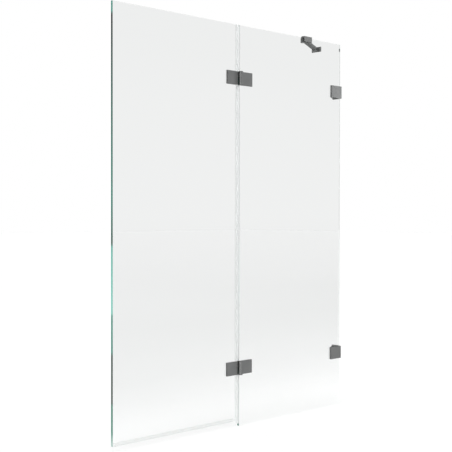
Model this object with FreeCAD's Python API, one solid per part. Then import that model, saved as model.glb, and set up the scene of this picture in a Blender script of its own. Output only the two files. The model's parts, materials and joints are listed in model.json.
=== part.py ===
import FreeCAD, Part
import math
import os

# Two-panel bath screen. Millimetres. X runs along the glass to the wall, Y from the room into
# the bath, Z up. The origin is the middle of the fixed glass's bottom edge, on the bath rim.

# Glass
glass_height = 1500.0  # top edge of both panels above the rim
glass_thickness = 8.0
fixed_width = 592.0
swing_width = 582.0
panel_gap = 7.0  # between the two glass edges
swing_lift = 21.0  # rim to the swinging glass's bottom edge
glass_hole_radius = 7.0

# Plates that grip the glass
fitting_height = 50.0
upper_from_top = 199.7  # glass's top edge to the middle of the upper fittings
lower_from_rim = 219.6  # rim to the middle of the lower fittings
plate_thickness = 7.0
gasket_thickness = 1.5
gasket_inset = 0.3  # gaskets stay this far inside their plates
plate_round = 0.4  # rounding of the plates' outer edges

# Clamping screws, put in from the bath side
screw_radius = 3.0
screw_head_radius = 5.5
screw_head_height = 3.2
screw_socket_radius = 2.3
screw_socket_depth = 1.8
screw_spacing = 24.0
screw_depth = 4.5  # into the front plate
screw_clearance = 0.1  # around the shank, in every hole
sleeve_clearance = 0.1  # between sleeve and glass

# Hinges
hinge_offset = 1.0  # of the axis from the middle of the panels' gap, towards the wall
leaf_gap = 4.0  # barrel to the near end of a leaf's plate
leaf_width = 53.0
barrel_radius = 7.5
barrel_stand_off = 3.7  # front of the leaves to the barrel's axis
neck_bite = 1.0  # of the neck's front into the barrel, which leaves a groove beside it
thrust_washer = 0.8
washer_inset = 0.4
cap_thickness = 1.0
cap_spigot = 3.0
pin_radius = 3.5
pin_end_gap = 0.5
bush_wall = 1.2
fit_clearance = 0.05  # radial, for pins, bushes and pivots
back_plate_start = 14.0  # from the hinge axis
back_plate_width = 34.0
back_plate_height = 40.0
back_plate_thickness = 5.0

# Wall brackets
cover_width = 63.5
bracket_width = 37.0  # of the leg on the glass
bracket_thickness = 6.0
wall_leg_thickness = 5.0  # fills the gap between glass edge and wall
wall_leg_reach = 33.0  # from the back of the glass
wall_hole_radius = 2.75
wall_hole_spacing = 30.0

# Clear seals of the swinging glass
seal_wall = 1.2
side_seal_grip = 15.0
side_seal_back_grip = 6.0  # of the short leg on the bath side
side_seal_rise = 9.0  # rim to its lower end
side_fin_overlap = 14.0  # of the fin behind the fixed glass
side_seal_clearance = 0.3  # lip and fin to the fixed glass
bottom_seal_grip = 12.0
fin_rise = 3.5  # rim to the fin's tip
fin_lean = 5.0  # of the fin's tip towards the bath
seal_end_gap = 1.0

# Stay at the top of the fixed glass
stay_from_edge = 205.4  # fixed glass's wall edge to the clamp's middle
clamp_width = 46.0
clamp_offset = 1.0  # of the clamp's middle from its pivot, towards the wall
clamp_drop = 14.5  # below the glass's top edge
clamp_front_jaw = 2.0
clamp_back_jaw = 5.2
clamp_bridge = 6.1
liner_thickness = 0.5
grub_radius = 2.5
grub_spacing = 31.0
grub_socket_radius = 1.4
grub_socket_depth = 2.0
arm_width = 20.0
arm_thickness = 10.0
arm_set_down = 2.2  # the arm's top below the clamp's top
arm_round = 0.6
arm_washer = 1.0
arm_washer_inset = 2.0
swivel_clearance = 0.8
pivot_radius = 3.0
pivot_head_radius = 5.5
pivot_head_height = 2.6
pivot_head_sink = 0.4  # of the head below the arm's top
pivot_head_clearance = 0.5  # around the head, in its counterbore
foot_from_glass = 127.6  # middle of the glass to the foot's middle
foot_length = 49.0
foot_plate = 5.0
foot_height = 20.0
foot_hole_radius = 2.5
foot_hole_spacing = 36.0

# Planes and axes that follow from the sizes above
half = glass_thickness / 2
wall_edge = fixed_width / 2
wall_face = wall_edge + wall_leg_thickness
fixed_edge = -fixed_width / 2
swing_edge = fixed_edge - panel_gap
free_edge = swing_edge - swing_width
plate_back = -half - gasket_thickness
plate_front = plate_back - plate_thickness
behind_gasket = half + gasket_thickness
axis_x = (fixed_edge + swing_edge) / 2 + hinge_offset
axis_y = plate_front - barrel_stand_off
leaf_start = barrel_radius + leaf_gap
bush_radius = pin_radius + fit_clearance + bush_wall
levels = {"upper": glass_height - upper_from_top, "lower": lower_from_rim}
sides = {"fixed": 1, "swing": -1}
screw_rows = (-screw_spacing / 2, screw_spacing / 2)
hexagon_sides = 6
tolerance = 1e-6  # within which an edge counts as lying in a plane

parts = {}


def box(x_range, y_range, z_range):
    low = FreeCAD.Vector(min(x_range), min(y_range), min(z_range))
    high = FreeCAD.Vector(max(x_range), max(y_range), max(z_range))
    size = high - low
    return Part.makeBox(size.x, size.y, size.z, low)


def rod(radius, start, end):
    start = FreeCAD.Vector(*start)
    along = FreeCAD.Vector(*end) - start
    return Part.makeCylinder(radius, along.Length, start, along)


def tube(outer, inner, start, end):
    return rod(outer, start, end).cut(rod(inner, start, end))


def prism(points, direction):
    corners = [FreeCAD.Vector(*point) for point in points]
    outline = Part.makePolygon(corners + corners[:1])
    return Part.Face(outline).extrude(FreeCAD.Vector(*direction))


def hex_socket(radius, mouth, depth_vector):
    """Six-sided recess whose mouth is at a point and which runs along a vector."""
    angles = [2 * math.pi * i / hexagon_sides for i in range(hexagon_sides)]
    corners = [(radius * math.cos(angle), radius * math.sin(angle), 0) for angle in angles]
    depth = FreeCAD.Vector(*depth_vector)
    recess = prism(corners, (0, 0, depth.Length))
    turn = FreeCAD.Rotation(FreeCAD.Vector(0, 0, 1), depth)
    recess.Placement = FreeCAD.Placement(FreeCAD.Vector(*mouth), turn)
    return recess


def inset(bounds, amount):
    return min(bounds) + amount, max(bounds) - amount


def join(*shapes):
    return shapes[0].fuse(list(shapes[1:])).removeSplitter()


def round_face_rim(shape, y):
    """Round the edges that bound the face at y."""
    rim = []
    for edge in shape.Edges:
        if all(abs(vertex.Point.y - y) < tolerance for vertex in edge.Vertexes):
            rim.append(edge)
    return shape.makeFillet(plate_round, rim)


def tangent_point(from_x, from_y, turn):
    """Where a line from a point touches the barrel; turn is +1 or -1 for the two sides."""
    offset_x = from_x - axis_x
    offset_y = from_y - axis_y
    reach = math.hypot(offset_x, offset_y)
    angle = math.atan2(offset_y, offset_x) + turn * math.acos(barrel_radius / reach)
    return axis_x + barrel_radius * math.cos(angle), axis_y + barrel_radius * math.sin(angle)


def drill_glass(panel, x, level):
    for row in screw_rows:
        panel = panel.cut(rod(glass_hole_radius, (x, -half, level + row), (x, half, level + row)))
    return panel


def grip(name, x, level, front_x, back_x, back_height, back_face):
    """Gaskets, sleeves and screws of one fitting, from its front plate through the glass."""
    front_z = inset((level - fitting_height / 2, level + fitting_height / 2), gasket_inset)
    back_z = inset((level - back_height / 2, level + back_height / 2), gasket_inset)
    front_gasket = box(inset(front_x, gasket_inset), (plate_back, -half), front_z)
    back_gasket = box(inset(back_x, gasket_inset), (half, behind_gasket), back_z)
    shank_hole = screw_radius + screw_clearance
    tip = plate_back - screw_depth
    head_top = back_face + screw_head_height
    for row in screw_rows:
        z = level + row
        front_gasket = front_gasket.cut(rod(shank_hole, (x, plate_back, z), (x, -half, z)))
        back_gasket = back_gasket.cut(rod(shank_hole, (x, half, z), (x, behind_gasket, z)))
        sleeve = tube(glass_hole_radius - sleeve_clearance, shank_hole, (x, -half, z), (x, half, z))
        head = rod(screw_head_radius, (x, back_face, z), (x, head_top, z))
        screw = join(head, rod(screw_radius, (x, tip, z), (x, back_face, z)))
        screw = screw.cut(hex_socket(screw_socket_radius, (x, head_top, z), (0, -screw_socket_depth, 0)))
        parts.setdefault(name + "_sleeves", []).append(sleeve)
        parts.setdefault(name + "_screws", []).append(screw)
    parts.setdefault(name + "_front_gaskets", []).append(front_gasket)
    parts.setdefault(name + "_back_gaskets", []).append(back_gasket)


def drill_plate(plate, x, level, y_range):
    """Screw holes of one fitting through the given depth of a plate."""
    for row in screw_rows:
        start = (x, min(y_range), level + row)
        end = (x, max(y_range), level + row)
        plate = plate.cut(rod(screw_radius + screw_clearance, start, end))
    return plate


def hinge_leaf(side, level, knuckle_z, bore_radius):
    """Front plate of a leaf with its knuckle, joined by a neck behind the barrel."""
    near = axis_x + side * leaf_start
    far = near + side * leaf_width
    height = (level - fitting_height / 2, level + fitting_height / 2)
    plate = box((near, far), (plate_front, plate_back), height)
    plate = round_face_rim(plate, plate_front)
    neck_front = axis_y + barrel_radius - neck_bite
    bite_width = math.sqrt(barrel_radius**2 - (barrel_radius - neck_bite) ** 2)
    back_touch = tangent_point(near, plate_back, side)
    outline = [
        (near, neck_front),
        (axis_x + side * bite_width, neck_front),
        (axis_x, axis_y),
        back_touch,
        (near, plate_back),
    ]
    low, high = knuckle_z
    neck = prism([(x, y, low) for x, y in outline], (0, 0, high - low))
    barrel = rod(barrel_radius, (axis_x, axis_y, low), (axis_x, axis_y, high))
    leaf = join(plate, neck, barrel)
    return leaf.cut(rod(bore_radius, (axis_x, axis_y, low), (axis_x, axis_y, high)))


def hinge_cap(seat, outward, spigot_radius):
    """Disc that closes a knuckle's end, with a spigot in the bore."""
    disc = rod(barrel_radius, (axis_x, axis_y, seat), (axis_x, axis_y, seat + outward * cap_thickness))
    spigot = rod(spigot_radius, (axis_x, axis_y, seat), (axis_x, axis_y, seat - outward * cap_spigot))
    return join(disc, spigot)


def make_hinge(place, level):
    top = level + fitting_height / 2
    bottom = level - fitting_height / 2
    split_low = level - thrust_washer / 2
    split_high = level + thrust_washer / 2
    pin_top = top - cap_spigot - pin_end_gap
    knuckles = {
        "fixed": ((bottom, split_low), pin_radius + fit_clearance),
        "swing": ((split_high, top), bush_radius + fit_clearance),
    }
    for owner, side in sides.items():
        knuckle_z, bore_radius = knuckles[owner]
        leaf = hinge_leaf(side, level, knuckle_z, bore_radius)
        front_x = (axis_x + side * leaf_start, axis_x + side * (leaf_start + leaf_width))
        back_x = (axis_x + side * back_plate_start, axis_x + side * (back_plate_start + back_plate_width))
        screw_x = sum(back_x) / 2
        back_face = behind_gasket + back_plate_thickness
        back_z = (level - back_plate_height / 2, level + back_plate_height / 2)
        back_plate = round_face_rim(box(back_x, (behind_gasket, back_face), back_z), back_face)
        leaf = drill_plate(leaf, screw_x, level, (plate_back - screw_depth, plate_back))
        parts[f"hinge_{owner}_leaf_{place}"] = [leaf]
        parts[f"hinge_{owner}_back_plate_{place}"] = [
            drill_plate(back_plate, screw_x, level, (behind_gasket, back_face))
        ]
        grip(f"hinge_{owner}", screw_x, level, front_x, back_x, back_plate_height, back_face)
        glass = f"{owner}_glass"
        parts[glass] = [drill_glass(parts[glass][0], screw_x, level)]
    pin = rod(pin_radius, (axis_x, axis_y, bottom + cap_spigot), (axis_x, axis_y, pin_top))
    bush_ends = (axis_x, axis_y, split_high), (axis_x, axis_y, top - cap_spigot)
    washer_ends = (axis_x, axis_y, split_low), (axis_x, axis_y, split_high)
    parts[f"hinge_pin_{place}"] = [pin]
    parts[f"hinge_bush_{place}"] = [tube(bush_radius, pin_radius + fit_clearance, *bush_ends)]
    parts[f"hinge_washer_{place}"] = [
        tube(barrel_radius - washer_inset, pin_radius + fit_clearance, *washer_ends)
    ]
    parts[f"hinge_top_cap_{place}"] = [hinge_cap(top, 1, bush_radius)]
    parts[f"hinge_bottom_cap_{place}"] = [hinge_cap(bottom, -1, pin_radius)]


def make_wall_bracket(place, level):
    height = (level - fitting_height / 2, level + fitting_height / 2)
    cover_x = (wall_edge - cover_width, wall_edge)
    leg_x = (wall_edge - bracket_width, wall_edge)
    screw_x = sum(leg_x) / 2
    leg_face = behind_gasket + bracket_thickness
    reach = half + wall_leg_reach
    cover = round_face_rim(box(cover_x, (plate_front, plate_back), height), plate_front)
    glass_leg = box((leg_x[0], wall_face), (behind_gasket, leg_face), height)
    wall_leg = box((wall_edge, wall_face), (behind_gasket, reach), height)
    bracket = join(glass_leg, wall_leg)
    hole_y = (leg_face + reach) / 2
    for hole_z in (level - wall_hole_spacing / 2, level + wall_hole_spacing / 2):
        hole = rod(wall_hole_radius, (wall_edge, hole_y, hole_z), (wall_face, hole_y, hole_z))
        bracket = bracket.cut(hole)
    parts[f"bracket_cover_{place}"] = [
        drill_plate(cover, screw_x, level, (plate_back - screw_depth, plate_back))
    ]
    parts[f"wall_bracket_{place}"] = [drill_plate(bracket, screw_x, level, (behind_gasket, leg_face))]
    grip("bracket", screw_x, level, cover_x, leg_x, fitting_height, leg_face)
    parts["fixed_glass"] = [drill_glass(parts["fixed_glass"][0], screw_x, level)]


def make_side_seals():
    """Clear strips on the hinge edge of the swinging glass, cut around the hinges.

    A lip closes the gap in front, and a soft fin lies behind the fixed glass.
    """
    grip_x = (swing_edge - side_seal_grip, swing_edge)
    back_x = (swing_edge - side_seal_back_grip, swing_edge)
    web_x = (swing_edge, swing_edge + seal_wall)
    lip_x = (web_x[1], fixed_edge - side_seal_clearance)
    fin_x = (web_x[1], fixed_edge + side_fin_overlap)
    fin_front = half + side_seal_clearance
    clear = fitting_height / 2 + seal_end_gap
    lengths = {
        "top": (levels["upper"] + clear, glass_height),
        "middle": (levels["lower"] + clear, levels["upper"] - clear),
        "bottom": (side_seal_rise, levels["lower"] - clear),
    }
    for place, z_range in lengths.items():
        parts[f"centre_seal_{place}"] = [
            join(
                box(grip_x, (-half - seal_wall, -half), z_range),
                box(back_x, (half, half + seal_wall), z_range),
                box(web_x, (-half - seal_wall, half + seal_wall), z_range),
                box(lip_x, (-half - seal_wall, -half), z_range),
            )
        ]
        parts[f"centre_fin_{place}"] = [box(fin_x, (fin_front, fin_front + seal_wall), z_range)]


def make_bottom_seal():
    """Clear channel on the bottom edge of the swinging glass, with a soft fin that hangs to the rim."""
    x_range = (free_edge, swing_edge - side_seal_grip - seal_end_gap)
    leg_z = (swing_lift - seal_wall, swing_lift + bottom_seal_grip)
    fin_outline = [
        (x_range[0], -seal_wall, leg_z[0]),
        (x_range[0], fin_lean - seal_wall, fin_rise),
        (x_range[0], fin_lean, fin_rise),
        (x_range[0], seal_wall, leg_z[0]),
    ]
    parts["bottom_seal"] = [
        join(
            box(x_range, (-half - seal_wall, -half), leg_z),
            box(x_range, (half, half + seal_wall), leg_z),
            box(x_range, (-half - seal_wall, half + seal_wall), (leg_z[0], swing_lift)),
        )
    ]
    parts["bottom_fin"] = [prism(fin_outline, (x_range[1] - x_range[0], 0, 0))]


def pivot_screw(x, y, low, seat):
    """Button-head screw on which an eye of the arm turns."""
    top = seat + pivot_head_height
    head = rod(pivot_head_radius, (x, y, seat), (x, y, top))
    screw = join(head, rod(pivot_radius, (x, y, low), (x, y, seat)))
    return screw.cut(hex_socket(screw_socket_radius, (x, y, top), (0, 0, -screw_socket_depth)))


def make_stay():
    eye_radius = arm_width / 2
    slot = half + liner_thickness
    bottom = glass_height - clamp_drop
    top = glass_height + liner_thickness + clamp_bridge
    arm_top = top - arm_set_down
    arm_low = arm_top - arm_thickness
    head_seat = arm_top - pivot_head_sink - pivot_head_height
    boss_top = arm_low - arm_washer
    back = slot + clamp_back_jaw
    clamp_x = wall_edge - stay_from_edge
    clamp_y = back + eye_radius + swivel_clearance
    foot_x = wall_face - foot_plate - eye_radius - swivel_clearance
    foot_y = foot_from_glass
    clamp_middle = clamp_x + clamp_offset
    width = (clamp_middle - clamp_width / 2, clamp_middle + clamp_width / 2)
    bore = pivot_radius + fit_clearance
    counterbore = pivot_head_radius + pivot_head_clearance

    clamp = box(width, (-slot - clamp_front_jaw, back), (bottom, top))
    clamp = round_face_rim(clamp, -slot - clamp_front_jaw)
    clamp = clamp.cut(box(width, (-slot, slot), (bottom, glass_height + liner_thickness)))
    lug = box((clamp_x - eye_radius, clamp_x + eye_radius), (slot, clamp_y), (bottom, boss_top))
    boss = rod(eye_radius, (clamp_x, clamp_y, bottom), (clamp_x, clamp_y, boss_top))
    clamp = join(clamp, lug, boss)
    clamp = clamp.cut(rod(bore, (clamp_x, clamp_y, bottom), (clamp_x, clamp_y, boss_top)))
    liner = box(width, (-slot, slot), (bottom, glass_height + liner_thickness))
    parts["stay_clamp_liner"] = [liner.cut(box(width, (-half, half), (bottom, glass_height)))]
    grubs = []
    grub_z = (bottom + glass_height) / 2
    for offset in (-grub_spacing / 2, grub_spacing / 2):
        inner = (clamp_middle + offset, slot, grub_z)
        outer = (clamp_middle + offset, back, grub_z)
        clamp = clamp.cut(rod(grub_radius + screw_clearance, inner, outer))
        socket = hex_socket(grub_socket_radius, outer, (0, -grub_socket_depth, 0))
        grubs.append(rod(grub_radius, inner, outer).cut(socket))
    parts["stay_clamp"] = [clamp]
    parts["stay_clamp_screws"] = grubs

    run = FreeCAD.Vector(foot_x - clamp_x, foot_y - clamp_y, 0)
    bar = box((0, run.Length), (-eye_radius, eye_radius), (arm_low, arm_top))
    eyes = [rod(eye_radius, (x, 0, arm_low), (x, 0, arm_top)) for x in (0, run.Length)]
    arm = join(bar, *eyes)
    flat_edges = [edge for edge in arm.Edges if edge.BoundBox.ZLength < tolerance]
    arm = arm.makeFillet(arm_round, flat_edges)
    for x in (0, run.Length):
        arm = arm.cut(rod(bore, (x, 0, arm_low), (x, 0, arm_top)))
        arm = arm.cut(rod(counterbore, (x, 0, head_seat), (x, 0, arm_top)))
    turn = FreeCAD.Rotation(FreeCAD.Vector(1, 0, 0), run)
    arm.Placement = FreeCAD.Placement(FreeCAD.Vector(clamp_x, clamp_y, 0), turn)
    parts["stay_arm"] = [arm]

    plate_y = (foot_y - foot_length / 2, foot_y + foot_length / 2)
    plate_x = (wall_face - foot_plate, wall_face)
    foot = join(
        box(plate_x, plate_y, (bottom, bottom + foot_height)),
        box((foot_x, wall_face), (foot_y - eye_radius, foot_y + eye_radius), (bottom, boss_top)),
        rod(eye_radius, (foot_x, foot_y, bottom), (foot_x, foot_y, boss_top)),
    )
    foot = foot.cut(rod(bore, (foot_x, foot_y, bottom), (foot_x, foot_y, boss_top)))
    hole_z = bottom + foot_height / 2
    for offset in (-foot_hole_spacing / 2, foot_hole_spacing / 2):
        start = (plate_x[0], foot_y + offset, hole_z)
        end = (plate_x[1], foot_y + offset, hole_z)
        foot = foot.cut(rod(foot_hole_radius, start, end))
    parts["stay_foot"] = [foot]

    ends = {"stay_arm": (clamp_x, clamp_y), "stay_foot": (foot_x, foot_y)}
    for name, (x, y) in ends.items():
        parts[name + "_screw"] = [pivot_screw(x, y, bottom, head_seat)]
        washer = tube(eye_radius - arm_washer_inset, bore, (x, y, boss_top), (x, y, arm_low))
        parts[name + "_washer"] = [washer]


parts["fixed_glass"] = [box((fixed_edge, wall_edge), (-half, half), (0, glass_height))]
parts["swing_glass"] = [box((free_edge, swing_edge), (-half, half), (swing_lift, glass_height))]
for place, level in levels.items():
    make_hinge(place, level)
    make_wall_bracket(place, level)
make_side_seals()
make_bottom_seal()
make_stay()

os.makedirs("parts", exist_ok=True)
for name, solids in parts.items():
    shape = solids[0] if len(solids) == 1 else Part.makeCompound(solids)
    shape.exportStep(f"parts/{name}.step")
    print(f"{name}: {len(shape.Solids)} solids, {shape.Volume:.1f} mm3")
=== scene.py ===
# %% [markdown]
# # A two-panel bath screen
#
# A bath screen keeps shower water off the floor. This one has a fixed pane, held to the wall by two
# brackets and braced by a stay, and a second pane that swings out on two barrel hinges. Clear plastic
# seals close the gap between the panes and the gap to the bath rim.
#
# The metal pieces come from the CAD model as they are and only get a finish. The panes and the seals
# are modelled here, because their looks depend on ground edges and soft lips.

# %% Load the frame
import json
import math

import bmesh
import bpy
from mathutils import Matrix, Vector


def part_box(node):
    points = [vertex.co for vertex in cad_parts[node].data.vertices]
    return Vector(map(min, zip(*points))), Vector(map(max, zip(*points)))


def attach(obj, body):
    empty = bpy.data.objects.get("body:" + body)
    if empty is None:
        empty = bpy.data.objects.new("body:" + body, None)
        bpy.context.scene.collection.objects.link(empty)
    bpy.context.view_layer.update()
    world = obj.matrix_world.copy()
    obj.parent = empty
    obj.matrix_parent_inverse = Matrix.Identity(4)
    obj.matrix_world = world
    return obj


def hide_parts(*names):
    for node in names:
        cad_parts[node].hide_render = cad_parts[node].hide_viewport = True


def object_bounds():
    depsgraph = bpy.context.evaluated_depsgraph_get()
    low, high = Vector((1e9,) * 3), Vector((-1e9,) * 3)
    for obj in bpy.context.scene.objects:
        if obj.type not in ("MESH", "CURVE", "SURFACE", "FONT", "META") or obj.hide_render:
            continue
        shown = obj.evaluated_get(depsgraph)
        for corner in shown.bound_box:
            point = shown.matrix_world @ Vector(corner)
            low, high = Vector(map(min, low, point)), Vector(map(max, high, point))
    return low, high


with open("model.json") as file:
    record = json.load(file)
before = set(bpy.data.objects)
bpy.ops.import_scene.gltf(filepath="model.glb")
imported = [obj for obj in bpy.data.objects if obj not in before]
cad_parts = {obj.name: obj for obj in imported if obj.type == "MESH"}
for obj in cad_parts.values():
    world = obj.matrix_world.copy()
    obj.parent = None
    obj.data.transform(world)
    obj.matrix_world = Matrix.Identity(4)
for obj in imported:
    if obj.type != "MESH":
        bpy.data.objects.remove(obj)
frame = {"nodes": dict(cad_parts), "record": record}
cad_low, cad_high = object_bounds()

scene = bpy.context.scene
nodes = frame["nodes"]

# %% [markdown]
# ## The camera
#
# The picture was taken from the room side, left of the screen, with the lens about level with the
# middle of the panes, so that upright edges stay nearly parallel. A camera can be aimed with a
# constraint, or turned by hand. Here its place and its three angles are written down, because they
# were fitted to the edges of the panes: a heading, a slight tilt down and a hair of roll.

# %% Camera at the photograph's place
camera_place = (-2.77867, -2.51032, 0.79836)
camera_heading = math.radians(43.9405)  # from +Y towards +X
camera_tilt = math.radians(-0.7862)
camera_roll = math.radians(0.0797)
level = math.radians(90)  # a camera that looks along the horizon
lens_length = 75.11  # mm
sensor_width = 36.0  # mm

camera = bpy.data.objects.new("camera", bpy.data.cameras.new("camera"))
camera.data.sensor_width = sensor_width
camera.data.lens = lens_length
camera.location = camera_place
camera.rotation_euler = (level + camera_tilt, -camera_roll, -camera_heading)
scene.collection.objects.link(camera)
scene.camera = camera
print("camera lens", lens_length, "mm, heading", round(math.degrees(camera_heading), 2))

# %% [markdown]
# ## Shader maths as Python
#
# A finish is a small network of nodes. Placing the nodes by hand in the editor works, but in a script
# the sums behind a pattern are easier to read as sums. So one class wraps a node's output socket: an
# expression such as `1 - mask * 0.3` adds the Math nodes it needs, and its method `node` adds any
# other kind of node. The kinds that nearly every finish uses have a method of their own.

# %% One class for sockets
class Wire:
    """A socket that understands arithmetic."""

    def __init__(self, socket):
        self.socket = socket
        self.tree = socket.id_data

    def node(self, kind, inputs=None, output=0, **settings):
        """Any node of this tree: values or wires of its sockets, the output to use, its settings."""
        made = self.tree.nodes.new(kind)
        for name, value in settings.items():
            setattr(made, name, value)
        for name, value in (inputs or {}).items():
            if isinstance(value, Wire):
                self.tree.links.new(value.socket, made.inputs[name])
            else:
                made.inputs[name].default_value = value
        return Wire(made.outputs[output]) if len(made.outputs) else None

    def maths(self, operation, *values):
        return self.node("ShaderNodeMath", dict(enumerate(values)), operation=operation)

    def __add__(self, other):
        return self.maths("ADD", self, other)

    __radd__ = __add__

    def __sub__(self, other):
        return self.maths("SUBTRACT", self, other)

    def __rsub__(self, other):
        return self.maths("SUBTRACT", other, self)

    def __mul__(self, other):
        return self.maths("MULTIPLY", self, other)

    __rmul__ = __mul__

    def __abs__(self):
        return self.maths("ABSOLUTE", self)

    def larger(self, other):
        return self.maths("MAXIMUM", self, other)

    def axis(self, name):
        """One of the three numbers of a vector."""
        return self.node("ShaderNodeSeparateXYZ", {"Vector": self}, name)

    def spread(self, low, high, start=0.0, end=1.0):
        """The range from low to high, laid on start to end and level outside it."""
        ends = {"From Min": low, "From Max": high, "To Min": start, "To Max": end}
        return self.node("ShaderNodeMapRange", {"Value": self, **ends})

    def noise(self, scale, detail=2.0):
        """A noise over the places that this vector gives."""
        return self.node("ShaderNodeTexNoise", {"Vector": self, "Scale": scale, "Detail": detail})

    def ramp(self, *stops):
        """This value as a colour, by stops of place and colour."""
        made = self.node("ShaderNodeValToRGB", {"Fac": self})
        elements = made.socket.node.color_ramp.elements
        while len(elements) > 1:
            elements.remove(elements[-1])
        elements[0].position, elements[0].color = stops[0]
        for place, colour in stops[1:]:
            elements.new(place).color = colour
        return made

    def tone(self, darker, lighter):
        """A noise as a colour between two; most of a noise lies between 0.3 and 0.7."""
        return self.ramp((0.3, darker), (0.7, lighter))

    def mixed(self, first, second):
        """Two shaders, with this value as the share of the second."""
        return self.node("ShaderNodeMixShader", {0: self, 1: first, 2: second})

    def principled(self, inputs):
        return self.node("ShaderNodeBsdfPrincipled", inputs)

    def film(self, colour):
        """A shader that lets light straight through and tints it."""
        return self.node("ShaderNodeBsdfTransparent", {"Color": colour})

    def ends_material(self):
        self.node("ShaderNodeOutputMaterial", {"Surface": self})


def new_finish(name):
    """An empty material and the wire of its Object coordinates."""
    material = bpy.data.materials.new(name)
    material.use_nodes = True
    material.node_tree.nodes.clear()
    coordinates = material.node_tree.nodes.new("ShaderNodeTexCoord")
    print("finish:", name)
    return material, Wire(coordinates.outputs["Object"])


def grey(value):
    return (value, value, value, 1.0)


print("sockets wrapped")

# %% [markdown]
# ## Light and floor
#
# The studio is white all round. The simplest white is a bright world, but a world bright enough to be
# white behind the screen may be too bright as a lamp. The Light Path node tells the two apart: rays
# that show the world, straight or by mirror or through glass, see plain white, and the others, which
# carry light to the surfaces, get a softer level. Two patches of the sky differ, though the camera
# sees neither straight on: a bright window at the left draws a line down the barrels, and a dark
# flag behind the free edge shades the sides that face left.
#
# Two soft boxes give the metal its shading. Clear panes mirror every lamp that stands in front of
# them, so the boxes stand round the space that the panes mirror: a tall narrow one at the right for
# the upper fittings, and a small one above for the stay's clamp. Light linking keeps both off the
# floor, which is pale and keeps the shadow. To the eye the floor is lifted to white, a little more
# close by than far away, where the screen takes some of its light. Mirrors also see a pool of light
# painted on it in front of the screen, a glow which lifts the lower fittings.

# %% World
ambient = 0.88
window_side = (-0.94, -0.30, 0.15)  # where a window stands, to the left
window_rim, window_core = 0.94, 0.985  # as dot products with a ray's direction
window_glow = 8.0
flag_side = (-0.70, 0.71, 0.0)  # where a dark flag stands, behind the screen's free edge
flag_rim, flag_core = 0.4, 0.85
flag_depth = 0.45

world = bpy.data.worlds.new("white_studio")
world.use_nodes = True
world.node_tree.nodes.clear()
scene.world = world


def shown_rays(tree):
    """1 for rays that show a surface to the eye, 0 for those that only carry light."""
    paths = tree.nodes.new("ShaderNodeLightPath")
    camera_ray, glossy_ray, through_ray = (
        Wire(paths.outputs[name]) for name in ("Is Camera Ray", "Is Glossy Ray", "Is Transmission Ray")
    )
    return camera_ray.larger(glossy_ray.larger(through_ray))


shown = shown_rays(world.node_tree)
seen = shown.node("ShaderNodeLightPath", output="Is Camera Ray")
towards = shown.node("ShaderNodeTexCoord", output="Generated")


def patch(side, rim, core, change):
    """A soft round patch of the sky: 0 outside its rim, the whole change inside its core."""
    nearness = towards.node("ShaderNodeVectorMath", {0: towards, 1: side}, "Value", operation="DOT_PRODUCT")
    return nearness.spread(rim, core, 0.0, change)


window = patch(window_side, window_rim, window_core, window_glow)
flag = patch(flag_side, flag_rim, flag_core, flag_depth)
level_of_sky = (ambient + shown * (1 - ambient)) * (1 + (window - flag) * (1 - seen))
sky = shown.node("ShaderNodeBackground", {"Color": level_of_sky, "Strength": 1.0})
sky.node("ShaderNodeOutputWorld", {"Surface": sky})
print("world: light", ambient, "and white to the eye")

# %% Soft boxes
def soft_box(name, place, aim, width, height, watts):
    lamp = bpy.data.lights.new(name, "AREA")
    lamp.shape = "RECTANGLE"
    lamp.size = width
    lamp.size_y = height
    lamp.energy = watts
    box = bpy.data.objects.new(name, lamp)
    box.location = place
    box.rotation_mode = "QUATERNION"
    box.rotation_quaternion = (Vector(aim) - Vector(place)).to_track_quat("-Z", "Y")
    scene.collection.objects.link(box)
    return box


soft_boxes = [
    soft_box("soft_box_right", (1.02, -0.5, 1.22), (0.25, 0.0, 1.3), width=0.14, height=0.6, watts=4.3),
    soft_box("soft_box_above", (0.74, -0.55, 1.86), (0.1, 0.0, 1.5), width=0.2, height=0.2, watts=1.5),
]
print("soft boxes:", [box.name for box in soft_boxes])

# %% Floor
floor_reach = 30.0
floor_drop = 0.001  # below the fixed pane's bottom edge
near, near_lift = 1.5, 0.25  # extra white close to the screen, which takes some of the light
far, far_lift = 6.0, 0.21  # and a little less of it far away
# the pool is painted light: a glow on the floor that only mirrors see
pool_lift = 0.9  # more, where a mirror shows the floor close in front of the screen
pool_core, pool_rim = 2.0, 7.0  # distances between which the pool fades
pool_back, pool_front = 0.4, -0.2  # the pool starts between these depths
speckles = 40.0  # per metre

floor_mesh = bpy.data.meshes.new("floor")
bm = bmesh.new()
below = Matrix.Translation((0, 0, -floor_drop))
bmesh.ops.create_grid(bm, x_segments=1, y_segments=1, size=floor_reach, matrix=below)
bm.to_mesh(floor_mesh)
bm.free()
floor = bpy.data.objects.new("floor", floor_mesh)
scene.collection.objects.link(floor)

floor_paint, here = new_finish("floor_paint")
reach = here.node("ShaderNodeVectorMath", {0: here}, "Value", operation="LENGTH")
lift = reach.spread(near, far, near_lift, far_lift)
pool = reach.spread(pool_core, pool_rim, pool_lift, 0.0) * here.axis("Y").spread(pool_back, pool_front)
mirrored = here.node("ShaderNodeLightPath", output="Is Glossy Ray")
here.principled(
    {
        "Base Color": grey(0.88),
        "Roughness": 0.75 + here.noise(speckles) * 0.1,
        "Specular IOR Level": 0.0,
        "Emission Color": shown_rays(floor_paint.node_tree) * lift + mirrored * pool,
        "Emission Strength": 1.0,
    }
).ends_material()
floor_mesh.materials.append(floor_paint)

off_floor = bpy.data.collections.new("not_lit_by_soft_boxes")
off_floor.objects.link(floor)
off_floor.collection_objects[0].light_linking.link_state = "EXCLUDE"
for box in soft_boxes:
    box.light_linking.receiver_collection = off_floor
scene.view_settings.view_transform = "Standard"
scene.cycles.transparent_max_bounces = 48  # films of both panes and all seals in one line of sight
print("floor", floor_reach * 2, "m wide")

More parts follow.
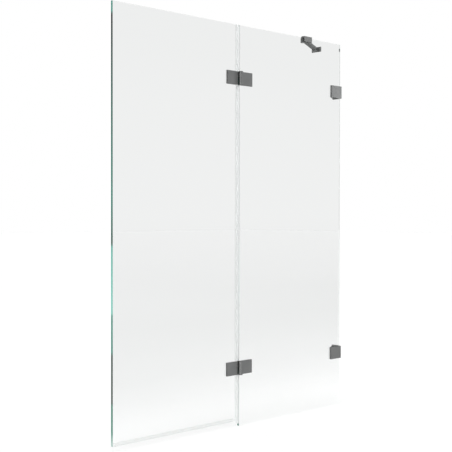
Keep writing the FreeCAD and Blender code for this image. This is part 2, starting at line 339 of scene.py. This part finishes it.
# %% [markdown]
# ## Finish: satin grey plating
#
# All the fittings that show are one batch of metal: cast, blasted and plated a dark satin grey. Metal
# has no colour of its own under the surface, only a tinted mirror, so Metallic is full and the grey
# sits in Base Color. The plating is never quite even. A wide, soft cloud moves the grey a little, and
# a fine grain from the blasting moves the roughness and lifts tiny bumps.

# %% Satin grey plating
plating, here = new_finish("satin_grey_plating")
cloud = here.noise(30.0)
grain = here.noise(1800.0)
bumps = here.node("ShaderNodeBump", {"Strength": 0.15, "Distance": 0.0001, "Height": grain})
here.principled(
    {
        "Base Color": cloud.tone((0.148, 0.151, 0.151, 1.0), (0.164, 0.166, 0.165, 1.0)),
        "Metallic": 1.0,
        "Specular Tint": grey(0.35),
        "Roughness": 0.54 + grain * 0.12,
        "Normal": bumps,
    }
).ends_material()

# %% [markdown]
# ## Finish: bare steel
#
# Screws and pins are turned from stainless bar and left bare. The cutting tool leaves fine lines; a
# noise that is stretched along one axis gives such lines without drawing each.

# %% Bare steel
steel, here = new_finish("bare_steel")
drawn = here.node("ShaderNodeMapping", {"Vector": here, "Scale": (1.0, 8.0, 8.0)})
lines = drawn.noise(300.0, detail=3.0)
here.principled(
    {
        "Base Color": lines.tone((0.25, 0.25, 0.255, 1.0), (0.31, 0.31, 0.315, 1.0)),
        "Metallic": 1.0,
        "Roughness": 0.2 + lines * 0.15,
    }
).ends_material()

# %% [markdown]
# ## Finish: nylon
#
# Bushes, sleeves and the stay's thin washers are turned from natural nylon, an off-white plastic with
# a dull skin. A soft cloud in the colour keeps it from looking like paint. Rubber and gaskets differ
# from it only in their numbers, so one function makes all three.

# %% Nylon
def mottled(name, noise_scale, detail, darker, lighter, roughness, roughness_change, **more):
    """A plain plastic whose colour and roughness change a little together."""
    material, here = new_finish(name)
    mottle = here.noise(noise_scale, detail)
    skin = {"Base Color": mottle.tone(darker, lighter), "Roughness": roughness + mottle * roughness_change}
    here.principled({**skin, **more}).ends_material()
    return material


nylon = mottled("natural_nylon", 120.0, 2.0, (0.66, 0.65, 0.61, 1.0), (0.74, 0.73, 0.69, 1.0), 0.4, 0.15)

# %% [markdown]
# ## Finish: black rubber
#
# A strip of black rubber lines the stay's clamp, so that metal never touches the glass. Rubber is dull,
# and a fine mottle in colour and roughness shows where it was pressed.

# %% Black rubber
rubber = mottled("black_rubber", 250.0, 3.0, grey(0.018), (0.034, 0.034, 0.035, 1.0), 0.6, 0.2)

# %% [markdown]
# ## Finish: gasket
#
# Thin gaskets keep metal and glass apart. They are cut from a dark grey sheet that lets a little light
# through and has a faint mottle. A solid grey would do as well, but would look like rubber.

# %% Gasket
gasket_dark, gasket_light = (0.10, 0.105, 0.105, 1.0), (0.15, 0.155, 0.155, 1.0)
gasket = mottled("translucent_gasket", 200.0, 2.0, gasket_dark, gasket_light, 0.35, 0.15, Alpha=0.9)

# %% [markdown]
# ## Finish: clear glass
#
# Glass can be a shader that bends light, but a flat pane hardly moves what is behind it, and bending
# costs render time and dark shadows. So each face of the pane is a clear film with the faint cast of
# thick glass, and mirrors by Fresnel's law on its outer side only. On top of that the film carries a
# painted reflection: its cast changes with the height, as the room that the pane mirrors does. The
# cast is weakest at the foot and strongest a quarter of the way up, and a ramp over the height paints
# how clear the film is.

# %% Clear glass
# the film's two tints: the glass's cast, and the clearer tint where the painted reflection is palest
film_cast = (0.889, 0.8935, 0.8915, 1.0)
film_clear = (0.975, 0.978, 0.977, 1.0)
mirror_tint = (0.8, 0.82, 0.81, 1.0)
glass_top = cad_high.z
# painted reflection: heights, as shares of the top, and how clear the film is there
painted_reflection_stops = (
    (0.05, 1.0),
    (0.11, 0.46),
    (0.15, 0.19),
    (0.22, 0.0),
    (0.27, 0.0),
    (0.36, 0.31),
    (0.52, 0.515),
    (0.8, 0.475),
    (0.92, 0.41),
)

glass, here = new_finish("clear_glass")
height = here.axis("Z")
painted_reflection = (height * (1 / glass_top)).ramp(*((place, grey(share)) for place, share in painted_reflection_stops))
waves = here.noise(4.0, detail=1.0)
ripple = here.node("ShaderNodeBump", {"Strength": 0.04, "Distance": 0.002, "Height": waves})
mirror = here.principled(
    {"Base Color": mirror_tint, "Metallic": 1.0, "Roughness": 0.02 + waves * 0.02, "Normal": ripple}
)


def outer_gloss(here, refraction):
    """How much a face mirrors by Fresnel's law: on its outer side only."""
    from_inside = here.node("ShaderNodeNewGeometry", output="Backfacing")
    return here.node("ShaderNodeFresnel", {"IOR": refraction}) * (1 - from_inside)


film = painted_reflection.mixed(here.film(film_cast), here.film(film_clear))
outer_gloss(here, 1.5).mixed(film, mirror).ends_material()

# %% [markdown]
# ## Finish: polished edge
#
# Seen end on, glass is green, because light travels a long way inside it before it comes out. The
# green is dark where the far end of the pane is in shade and pale where it is lit, so a ramp over the
# height gives the tone. It pales at the foot of the swinging pane, where the bottom seal takes over.
#
# From inside the pane an edge is partly clear and partly a mirror. A level edge mirrors fully. An
# upright one mirrors in part, and fully only in the short stretch where the edge at the wall shows
# the stay's arm. The ground arris is clear from inside.

# %% Polished edge
edge_tones = (
    (0.0085, (0.01, 0.16, 0.11, 1.0)),
    (0.0125, (0.45, 0.58, 0.54, 1.0)),
    (0.014, (0.45, 0.58, 0.54, 1.0)),
    (0.043, (0.01, 0.18, 0.12, 1.0)),
    (0.105, (0.01, 0.17, 0.11, 1.0)),
    (0.11, (0.004, 0.03, 0.02, 1.0)),
    (0.215, (0.004, 0.03, 0.02, 1.0)),
    (0.222, (0.02, 0.20, 0.15, 1.0)),
    (0.303, (0.03, 0.22, 0.165, 1.0)),
    (0.31, (0.18, 0.53, 0.45, 1.0)),
    (0.455, (0.09, 0.38, 0.31, 1.0)),
    (0.462, (0.003, 0.05, 0.035, 1.0)),
    (0.563, (0.005, 0.17, 0.12, 1.0)),
    (0.967, (0.002, 0.005, 0.004, 1.0)),
    (0.972, (0.05, 0.24, 0.19, 1.0)),
)
edge_jitter = 0.006  # how far streaks move the tones
arm_image = 1.4773  # height at which the edge at the wall mirrors the stay's arm
arm_image_half = 0.006
upright_share = 0.3  # of an upright edge's inner side that mirrors
arris_leans = 0.1  # a facet that faces out of the pane more than this is arris

edge, here = new_finish("polished_green_edge")
height = here.axis("Z")
streaks = here.noise(9.0, detail=3.0)
edge_tone = (height * (1 / glass_top) + (streaks - 0.5) * edge_jitter).ramp(*edge_tones)
polished = here.principled(
    {"Base Color": edge_tone, "Roughness": 0.12 + streaks * 0.1, "Specular IOR Level": 0.1}
)
mirror = here.principled(
    {"Base Color": (0.885, 0.895, 0.89, 1.0), "Metallic": 1.0, "Roughness": 0.02 + streaks * 0.03}
)
facing = here.node("ShaderNodeNewGeometry", output="Normal")
level_edge = abs(facing.axis("Z"))
not_arris = here.maths("LESS_THAN", abs(facing.axis("Y")), arris_leans)
at_arm = here.maths("COMPARE", height, arm_image, arm_image_half)
mirrors = (upright_share + (1 - upright_share) * level_edge.larger(at_arm)) * not_arris
inner_side = mirrors.mixed(here.film((0.99, 1.0, 0.995, 1.0)), mirror)
from_inside = here.node("ShaderNodeNewGeometry", output="Backfacing")
from_inside.mixed(polished, inner_side).ends_material()

# %% [markdown]
# ## Finish: clear seal and soft lip
#
# The seals are drawn through a die from two plastics at once. The hard one that grips the glass is a
# clear film like the panes, with faint lines along the draw in its gloss; the bottom seal's is a
# little greyer. The soft one of the lip is milky. Milk could be a scattering volume, but for so thin a
# piece a dull surface with a little painted glow stands in for the light that comes through. The web
# sits in the shade of the channel, so its copy of the soft plastic is paler and has more painted glow.

# %% Clear seal
def clear_plastic(name, tint, draw):
    """A clear film with faint lines along the draw in its gloss."""
    material, here = new_finish(name)
    flow = here.node("ShaderNodeMapping", {"Vector": here, "Scale": draw})
    skin = here.principled(
        {"Base Color": mirror_tint, "Metallic": 1.0, "Roughness": 0.1 + flow.noise(600.0) * 0.15}
    )
    outer_gloss(here, 1.45).mixed(here.film(tint), skin).ends_material()
    return material


clear_seal = clear_plastic("clear_seal", (0.978, 0.980, 0.979, 1.0), (1.0, 1.0, 0.01))
rim_plastic = clear_plastic("rim_plastic", (0.962, 0.964, 0.963, 1.0), (0.01, 1.0, 1.0))

# %% Soft lip
def milky(name, darker, lighter, glow):
    """Soft plastic with a painted glow, which stands in for the light that enters on its far side."""
    material, here = new_finish(name)
    flow = here.node("ShaderNodeMapping", {"Vector": here, "Scale": (1.0, 1.0, 0.002)})
    milk = flow.noise(400.0)
    tone = milk.tone(darker, lighter)
    here.principled(
        {
            "Base Color": tone,
            "Roughness": 0.5 + milk * 0.1,
            "Specular IOR Level": 0.0,
            "Emission Color": tone,
            "Emission Strength": glow,
        }
    ).ends_material()
    return material


# Both soft plastics glow a little, which is painted light. The web's copy, in the channel's shade, is paler
# and glows more: painted light in place of that shade.
soft_lip = milky("soft_lip", (0.69, 0.70, 0.70, 1.0), (0.72, 0.73, 0.73, 1.0), 0.08)
soft_web_with_painted_light = milky("soft_web_with_painted_light", (0.765, 0.775, 0.775, 1.0), (0.795, 0.805, 0.805, 1.0), 0.2)

# %% [markdown]
# ## Metal, nylon and gaskets keep their CAD shape
#
# The record names a finish slot for every node. A loop hands each node the material of its slot. New
# pieces take the place of the panes and seals in the next steps.

# %% Finishes on the CAD nodes
finish_of_slot = {
    "plated_metal": plating,
    "bare_steel": steel,
    "white_nylon": nylon,
    "gasket": gasket,
    "black_rubber": rubber,
    "clear_glass": glass,
    "clear_seal": clear_seal,
    "soft_fin": soft_lip,
}
for row in frame["record"]["subparts"]:
    mesh = nodes[row["node"]].data
    mesh.materials.clear()
    mesh.materials.append(finish_of_slot[row["material_slot"]])

# %% [markdown]
# ## The panes
#
# A pane is cut, drilled and ground before it is hardened. It could be a box with holes cut by a
# Boolean, but the maker's order gives a cleaner mesh: a flat outline with round holes is filled, pulled
# to its thickness, and every outer edge gets a ground arris, the narrow slope that keeps it from
# cutting hands. Edges that sit in a seal or on the rim are as clear as the seals, and so is the slope
# along the top, which catches the white of the room.

# %% Pane
hole_radius = 0.007
hole_rows = (-0.012, 0.012)  # from a plate's middle
arris = 0.001
same_place = 1e-6
sharp = 1.0  # radians between two faces at an edge that is ground
face_leans = 0.99  # a facet that faces out of the pane more than this is a face of it


def new_piece(name, bm, body, materials, node):
    """A finished mesh as an object at the origin that rides on a body and replaces a CAD node."""
    mesh = bpy.data.meshes.new(name)
    bm.to_mesh(mesh)
    bm.free()
    piece = bpy.data.objects.new(name, mesh)
    scene.collection.objects.link(piece)
    for material in materials:
        mesh.materials.append(material)
    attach(piece, body)
    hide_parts(node)
    print(name, len(mesh.polygons), "faces on", body)


def pull(bm, way):
    """Pulls flat faces to a solid."""
    pulled = bmesh.ops.extrude_face_region(bm, geom=bm.faces[:])
    moved = [part for part in pulled["geom"] if isinstance(part, bmesh.types.BMVert)]
    bmesh.ops.translate(bm, verts=moved, vec=way)
    bmesh.ops.recalc_face_normals(bm, faces=bm.faces[:])


def round_off(bm, lines, width):
    bmesh.ops.bevel(bm, geom=lines, offset=width, segments=2, profile=0.5, affect="EDGES", material=-1)


def pane(name, node, body, holes, covered_x=None):
    """A pane with polished edges; its foot, its top slope and the edge at covered_x stay clear."""
    low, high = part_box(node)
    size = high - low
    upright = Matrix.Rotation(math.radians(90), 4, "X")
    middle = Matrix.Translation(((low.x + high.x) / 2, low.y, (low.z + high.z) / 2))
    bm = bmesh.new()
    outline = bmesh.ops.create_grid(bm, x_segments=1, y_segments=1, size=0.5)
    bmesh.ops.delete(bm, geom=bm.faces[:], context="FACES_ONLY")
    bmesh.ops.scale(bm, verts=outline["verts"], vec=(size.x, size.z, 1.0))
    bmesh.ops.transform(bm, matrix=middle @ upright, verts=outline["verts"])
    for x, z in holes:
        centre = Matrix.Translation((x, low.y, z))
        bmesh.ops.create_circle(bm, segments=32, radius=hole_radius, matrix=centre @ upright)
    bmesh.ops.triangle_fill(bm, edges=bm.edges[:], use_beauty=True)
    pull(bm, (0.0, size.y, 0.0))

    def on_rim(vertex):
        gaps = (vertex.co.x - low.x, vertex.co.x - high.x, vertex.co.z - low.z, vertex.co.z - high.z)
        return min(abs(gap) for gap in gaps) < same_place

    rim = [
        line
        for line in bm.edges
        if all(on_rim(v) for v in line.verts) and line.calc_face_angle(0.0) > sharp
    ]
    round_off(bm, rim, arris)
    for side in bm.faces:
        leans = abs(side.normal.y)
        corners = [v.co for v in side.verts]
        at_foot = all(co.z - low.z < 2 * arris for co in corners)
        at_top = all(high.z - co.z < 2 * arris for co in corners)
        in_seal = covered_x is not None and all(abs(co.x - covered_x) < 2 * arris for co in corners)
        stays_clear = at_foot or in_seal or at_top and leans > arris_leans
        side.material_index = 0 if leans > face_leans else 2 if stays_clear else 1
    new_piece(name, bm, body, [glass, edge, clear_seal], node)


def holes_of(*plates):
    """Centres of the drilled holes behind the given plates."""
    centres = []
    for plate in plates:
        low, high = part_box(plate)
        centres += [((low.x + high.x) / 2, (low.z + high.z) / 2 + row) for row in hole_rows]
    return centres


bracket_low, bracket_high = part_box("bracket_back_gaskets")
bracket_x = (bracket_low.x + bracket_high.x) / 2
bracket_holes = [(bracket_x, z) for _, z in holes_of("bracket_cover_upper", "bracket_cover_lower")]
fixed_holes = holes_of("hinge_fixed_back_plate_upper", "hinge_fixed_back_plate_lower") + bracket_holes
swing_holes = holes_of("hinge_swing_back_plate_upper", "hinge_swing_back_plate_lower")
glass_low, glass_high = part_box("swing_glass")
pane("fixed_pane", "fixed_glass", "fixed_screen", fixed_holes)
pane("swing_pane", "swing_glass", "swing_panel", swing_holes, covered_x=glass_high.x)

# %% [markdown]
# ## The seals
#
# A seal is one section all along its length, so it is modelled the way it is made: an outline face is
# pulled to length and its long edges are rounded a little. A curve with a bevel profile could do it
# too, but the pulled face keeps square cut ends. The legs thin out towards the mouth of the channel,
# and lip and fins thin out towards their tips, so that they give way.

# %% Pulled sections
seal_round = 0.00015
seal_fit = 0.0001  # between plastic and glass
leg_thins = 0.00035
fin_tip = 0.0005
back_grip = 0.006  # of the short leg on the bath side
along_pull = 0.99  # cosine above which an edge runs along the pull
bent = 0.5  # radians between two faces at an edge that is rounded

inner_front = glass_low.y - seal_fit
inner_back = glass_high.y + seal_fit


def pulled_section(name, node, outline, length, finishes, soft_from=None, web_to=None):
    """A plastic section: its outline as a face, pulled to length, with rounded long edges.

    Right of soft_from the plastic is soft: up to web_to it takes the web's copy, paler and with more
    painted glow, and beyond it the lip's.
    """
    bm = bmesh.new()
    bm.faces.new([bm.verts.new(point) for point in outline])
    pull(bm, length)
    along = Vector(length).normalized()
    long_edges = []
    for line in bm.edges:
        runs_along = abs((line.verts[1].co - line.verts[0].co).normalized().dot(along)) > along_pull
        if runs_along and line.calc_face_angle(0.0) > bent:
            long_edges.append(line)
    round_off(bm, long_edges, seal_round)
    if soft_from is not None:
        for side in bm.faces:
            if all(v.co.x > soft_from for v in side.verts):
                side.material_index = 1 if side.calc_center_median().x > web_to else 2
    new_piece(name, bm, "swing_panel", finishes, node)


print("seal rounds", seal_round * 1000, "mm")

# %% Seals of the joint between the panes
edge_x = glass_high.x
for place in ("top", "middle", "bottom"):
    low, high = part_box("centre_seal_" + place)
    fin_low, fin_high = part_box("centre_fin_" + place)
    web = fin_low.x  # the side of the web that faces the fixed pane
    lip_tip = high.x
    plan = [
        (low.x, low.y + leg_thins),
        (edge_x, low.y),
        (web, low.y),
        ((web + lip_tip) / 2, low.y + leg_thins / 2),
        (lip_tip, inner_front - fin_tip),
        (lip_tip, inner_front),
        (web, inner_front),
        (web, high.y),
        (edge_x, high.y),
        (edge_x - back_grip, high.y - leg_thins),
        (edge_x - back_grip, inner_back),
        (edge_x + seal_fit, inner_back),
        (edge_x + seal_fit, inner_front),
        (low.x, inner_front),
    ]
    seal_length = (0.0, 0.0, high.z - low.z)
    pulled_section(
        "joint_seal_" + place,
        "centre_seal_" + place,
        [(x, y, low.z) for x, y in plan],
        seal_length,
        [clear_seal, soft_lip, soft_web_with_painted_light],
        soft_from=edge_x - seal_fit,
        web_to=web + seal_fit,
    )
    fin_plan = [
        (fin_low.x, fin_low.y),
        (fin_high.x, fin_low.y + fin_tip / 4),
        (fin_high.x, fin_low.y + fin_tip),
        ((fin_low.x + fin_high.x) / 2, fin_low.y + 1.6 * fin_tip),
        (fin_low.x, fin_high.y),
    ]
    fin_outline = [(x, y, fin_low.z) for x, y in fin_plan]
    pulled_section("joint_fin_" + place, "centre_fin_" + place, fin_outline, seal_length, [clear_seal])

# %% Seal of the bottom edge
fin_root = 0.0012
bend_share = 0.3  # of the fin's depth, where it bends

low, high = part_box("bottom_seal")
fin_low, fin_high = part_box("bottom_fin")
section = [
    (low.y + leg_thins, high.z),
    (low.y, glass_low.z),
    (low.y, low.z),
    (high.y, low.z),
    (high.y, glass_low.z),
    (high.y - leg_thins, high.z),
    (inner_back, high.z),
    (inner_back, glass_low.z - seal_fit),
    (inner_front, glass_low.z - seal_fit),
    (inner_front, high.z),
]
to_right = (high.x - low.x, 0.0, 0.0)
pulled_section("rim_seal", "bottom_seal", [(low.x, y, z) for y, z in section], to_right, [rim_plastic])
bend_y = fin_low.y + bend_share * (fin_high.y - fin_low.y)
bend_z = (fin_low.z + fin_high.z) / 2
fin_section = [
    (fin_low.y, fin_high.z),
    (bend_y - fin_root / 2, bend_z),
    (fin_high.y - fin_tip, fin_low.z),
    (fin_high.y, fin_low.z),
    (bend_y + fin_root / 3, bend_z),
    (fin_low.y + fin_root, fin_high.z),
]
pulled_section("rim_fin", "bottom_fin", [(low.x, y, z) for y, z in fin_section], to_right, [clear_seal])
